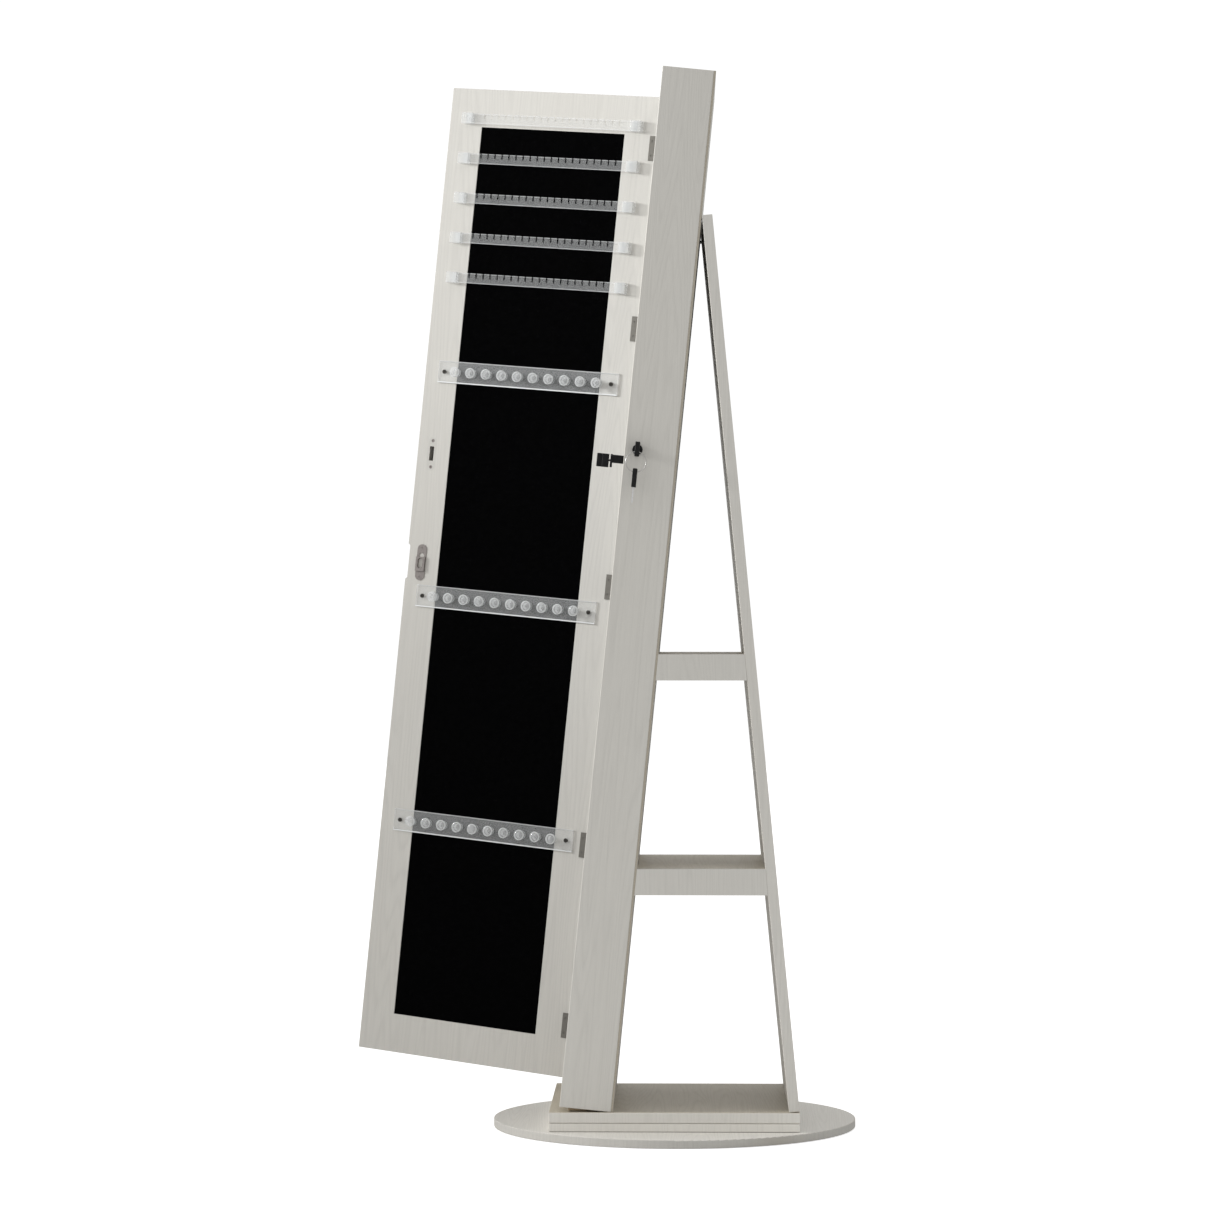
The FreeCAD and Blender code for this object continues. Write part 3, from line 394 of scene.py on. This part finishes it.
def finish_fittings():
    """Felt, acrylic, metal and plastic pieces."""
    bars = [f"earring_bar_{k}" for k in range(1, 6)]
    plates = [f"necklace_plate_{k}" for k in range(1, 4)]
    assign(felt("felt_black", (0.0010, 0.0010, 0.0011), (0.012, 0.012, 0.013), 0.0),
           "door_felt_board", "back_lining")
    assign(felt("felt_grey", (0.10, 0.10, 0.10), (0.30, 0.30, 0.30), 0.2), "floor_pads")
    for name in bars:
        low, high = extents(name, DOOR)[2]
        # painted highlight lines along the bars' lower and upper edges
        painted_edge_highlights = ((low + 0.0006, 0.0007, 0.30), (high - 0.0004, 0.0005, 0.35))
        assign(acrylic(f"acrylic_{name}", DOOR, 1, (0.108, 0.02, 0.60), 0.3, painted_edge_highlights), name)
    for name in plates:
        low, high = extents(name, DOOR)[2]
        # painted highlight lines along the plates' lower and upper edges
        painted_edge_highlights = ((low + 0.0009, 0.0010, 0.80), (high - 0.0007, 0.0008, 0.40))
        assign(acrylic(f"acrylic_{name}", DOOR, 1, (0.138, 0.60, 0.90), 2.3, painted_edge_highlights), name)
    assign(acrylic("acrylic_blocks", DOOR, 1, (0.28, 0.28, 0.50), 1.3), "earring_bar_holders")
    # the pegs' whiter rims are painted highlight
    assign(acrylic("acrylic_pegs", DOOR, 1, (0.26, 0.70, 0.70), 3.3), "necklace_pegs")
    assign(acrylic("acrylic_guards", CABINET, 0, (0.10, 0.60, 0.60), 4.3), "shelf_guards")
    assign(mirror_glass("mirror"), "door_mirror")
    assign(metal("nickel_hinges", (0.20, 0.19, 0.17), 0.48), "hinge_cabinet_leaves", "hinge_pins",
           "hinge_cabinet_screws", "hinge_door_leaves", "hinge_door_screws")
    assign(metal("nickel_keeper", (0.33, 0.30, 0.285), 0.36, tarnish=0.6),
           "catch_keeper", "keeper_screws")
    assign(metal("zinc", (0.52, 0.52, 0.54), 0.40), "turntable_lower_plate", "turntable_upper_plate",
           "turntable_lower_screws", "deck_screws", "deck_bolts", "rear_board_screws",
           "back_panel_screws")
    assign(metal("steel_polished", (0.72, 0.72, 0.74), 0.14, tarnish=0.1),
           "turntable_balls", "hanging_rods")
    assign(metal("steel_ring", (0.50, 0.49, 0.47), 0.34, tarnish=0.3), "key_ring")
    assign(metal("steel_key", (0.66, 0.66, 0.66), 0.24, tarnish=0.15), "key_blade", "spare_key_blade")
    assign(metal("screws_dark", (0.07, 0.066, 0.06), 0.42), "necklace_plate_screws")
    assign(plastic("lock_black", (0.005, 0.005, 0.0055), 0.30), "lock_barrel", "lock_case", "lock_hook",
           "lock_plug")
    assign(plastic("plastic_black", (0.006, 0.006, 0.006), 0.38), "key_head", "spare_key_head")
    assign(plastic("plastic_white", (0.60, 0.585, 0.545), 0.40), "magnet_catch", "lock_strike")


# ---- the ring cushion ----
ROLLS = 10
ROLL_SWELL = 0.0035     # how far the stuffing moves the cloth at most
ROLL_VOXEL = 0.004
ROLL_PRESSURE = 4.0
SIDE_ROOM = 0.010       # what the rolls leave free of the plain block
FRONT_ROOM = 0.002
BACK_ROOM = 0.004
BACK_OFFSET = 0.003     # the rolls' backs, in front of the block's
SEAM = 0.003            # between one roll and the next
SETTLING_FRAMES = 20


def roll_mesh(width, pitch, depth):
    """One velvet roll, drawn with its length along Y, its back at x = 0 and its front towards -X."""
    mesh = bmesh.new()
    steps, spans = 20, 40
    radius_x, radius_z = depth / 2, pitch / 2
    loops = []
    for i in range(spans + 1):
        share = i / spans
        end = min(share, 1 - share) * width
        round_off = math.sqrt(max(0.0, 1 - (1 - min(1.0, end / radius_z)) ** 2))
        grow = 0.25 + 0.75 * round_off
        loop = []
        for k in range(steps):
            angle = 2 * math.pi * k / steps
            x = -radius_x + radius_x * grow * math.cos(angle)
            z = radius_z * grow * math.sin(angle)
            loop.append(mesh.verts.new((x, (share - 0.5) * width, z)))
        loops.append(loop)
    for a, b in zip(loops, loops[1:]):
        for k in range(steps):
            mesh.faces.new((a[k], a[(k + 1) % steps], b[(k + 1) % steps], b[k]))
    mesh.faces.new(loops[0][::-1])
    mesh.faces.new(loops[-1])
    bmesh.ops.recalc_face_normals(mesh, faces=mesh.faces)
    data = bpy.data.meshes.new("ring_roll")
    mesh.to_mesh(data)
    mesh.free()
    return data


def apply_modifiers(obj):
    """Turns what the modifiers make into the object's own mesh."""
    graph = bpy.context.evaluated_depsgraph_get()
    made = bpy.data.meshes.new_from_object(obj.evaluated_get(graph), depsgraph=graph)
    obj.modifiers.clear()
    obj.data = made


def stuffed(obj):
    """Blows a closed shape up as stuffed cloth, no point moving further than the swell."""
    remesh = obj.modifiers.new("remesh", "REMESH")
    remesh.mode = "VOXEL"
    remesh.voxel_size = ROLL_VOXEL
    apply_modifiers(obj)
    start = [vertex.co.copy() for vertex in obj.data.vertices]
    cloth = obj.modifiers.new("cloth", "CLOTH")
    cloth.settings.use_pressure = True
    cloth.settings.uniform_pressure_force = ROLL_PRESSURE
    cloth.settings.effector_weights.gravity = 0.0
    for number in range(1, SETTLING_FRAMES + 1):
        scene.frame_set(number)
    apply_modifiers(obj)
    scene.frame_set(1)
    for vertex, before in zip(obj.data.vertices, start):
        move = vertex.co - before
        if move.length > ROLL_SWELL:
            vertex.co = before + move.normalized() * ROLL_SWELL


def ring_cushion():
    """Velvet rolls one above another, in the space of the plain block."""
    turned = CABINET.inverted()
    mesh = NODES["ring_cushion"].data
    inner = [turned @ vertex.co for vertex in mesh.vertices]
    lowest = Vector([min(point[k] for point in inner) for k in range(3)])
    highest = Vector([max(point[k] for point in inner) for k in range(3)])
    size = highest - lowest
    pitch = size.z / ROLLS
    shape = roll_mesh(size.y - SIDE_ROOM, pitch - SEAM, size.x - FRONT_ROOM - BACK_ROOM)
    roll = bpy.data.objects.new("roll", shape)
    scene.collection.objects.link(roll)
    stuffed(roll)
    dice = random.Random(7)
    whole = bmesh.new()
    for k in range(ROLLS):
        middle = Vector((highest.x - BACK_OFFSET, 0.0, lowest.z + pitch * (k + 0.5)))
        fat = dice.uniform(0.97, 1.0)
        placing = Matrix.Translation(middle) @ Matrix.Diagonal((fat, 1.0, fat, 1.0))
        copy = roll.data.copy()
        copy.transform(CABINET.to_4x4() @ placing)
        whole.from_mesh(copy)
        bpy.data.meshes.remove(copy)
    data = bpy.data.meshes.new("ring_rolls")
    whole.to_mesh(data)
    whole.free()
    bpy.data.objects.remove(roll)
    data.polygons.foreach_set("use_smooth", [True] * len(data.polygons))
    cushion = bpy.data.objects.new("ring_rolls", data)
    scene.collection.objects.link(cushion)
    cushion.modifiers.new("smooth", "SUBSURF").render_levels = 1
    apply_modifiers(cushion)
    cushion.data.polygons.foreach_set("use_smooth", [True] * len(cushion.data.polygons))
    cushion.data.materials.clear()
    cushion.data.materials.append(velvet("velvet_black"))
    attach(cushion, "cabinet")
    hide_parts("ring_cushion")


# ---- the room ----
FLOOR_RADIUS = 14.0
FLOOR_GLOW = 0.65       # seen by the camera only
SKY_LIGHT = 0.765       # as a lamp
SKY_SEEN = 1.05         # by the camera
LAMP_RADIUS = 0.30


def floor():
    """A plain pale floor, round and far larger than the object, white to the camera."""
    mesh = bmesh.new()
    bmesh.ops.create_circle(mesh, cap_ends=True, segments=96, radius=FLOOR_RADIUS)
    data = bpy.data.meshes.new("floor")
    mesh.to_mesh(data)
    mesh.free()
    piece = bpy.data.objects.new("floor", data)
    scene.collection.objects.link(piece)
    n = Nodes("floor_pale")
    seen = n.add("ShaderNodeLightPath").outputs["Is Camera Ray"]
    n.set(Base_Color=(0.80, 0.80, 0.79, 1.0), Roughness=0.9, Specular_IOR_Level=0.1)
    n.set(Emission_Color=(1.0, 1.0, 1.0, 1.0), Emission_Strength=n.math("MULTIPLY", seen, FLOOR_GLOW))
    data.materials.append(n.material)


def sky():
    """Even white surroundings, brighter to the eye than as a lamp."""
    world = bpy.data.worlds.new("studio")
    scene.world = world
    world.use_nodes = True
    tree = world.node_tree
    background = tree.nodes["Background"]
    background.inputs["Color"].default_value = (1.0, 1.0, 1.0, 1.0)
    path = tree.nodes.new("ShaderNodeLightPath")
    strength = tree.nodes.new("ShaderNodeMapRange")
    strength.inputs[3].default_value = SKY_LIGHT
    strength.inputs[4].default_value = SKY_SEEN
    tree.links.new(path.outputs["Is Camera Ray"], strength.inputs[0])
    tree.links.new(strength.outputs[0], background.inputs["Strength"])


def spot(name, place, target, cone, power, colour):
    """A spot lamp aimed at a point, its light fading all the way from the middle to the rim."""
    data = bpy.data.lights.new(name, "SPOT")
    data.spot_size = math.radians(cone)
    data.spot_blend = 1.0
    data.shadow_soft_size = LAMP_RADIUS
    data.energy = power
    data.color = colour
    piece = bpy.data.objects.new(name, data)
    piece.location = place
    piece.rotation_euler = (Vector(target) - Vector(place)).to_track_quat("-Z", "Y").to_euler()
    scene.collection.objects.link(piece)


def camera():
    """The photographer's place: level, near the height of the cabinet's middle."""
    data = bpy.data.cameras.new("camera")
    data.sensor_width = 36.0
    data.lens = 119.28
    piece = bpy.data.objects.new("camera", data)
    piece.location = (0.0139, -5.9407, 0.7611)
    piece.rotation_euler = Euler((math.radians(90.042), 0.0, math.radians(1.096)))
    scene.collection.objects.link(piece)
    scene.camera = piece


scene.view_settings.view_transform = "Standard"
scene.view_settings.look = "None"
camera()
floor()
sky()
spot("key", (-3.6, -0.35, 2.2), (0.0, -1.10, 1.45), 60.0, 960.0, (0.98, 0.99, 1.0))
spot("low", (-2.6, -0.35, 1.5), (-0.2, -0.1, 0.02), 20.0, 110.0, (1.0, 0.97, 0.94))
finish_boards()
finish_fittings()
ring_cushion()
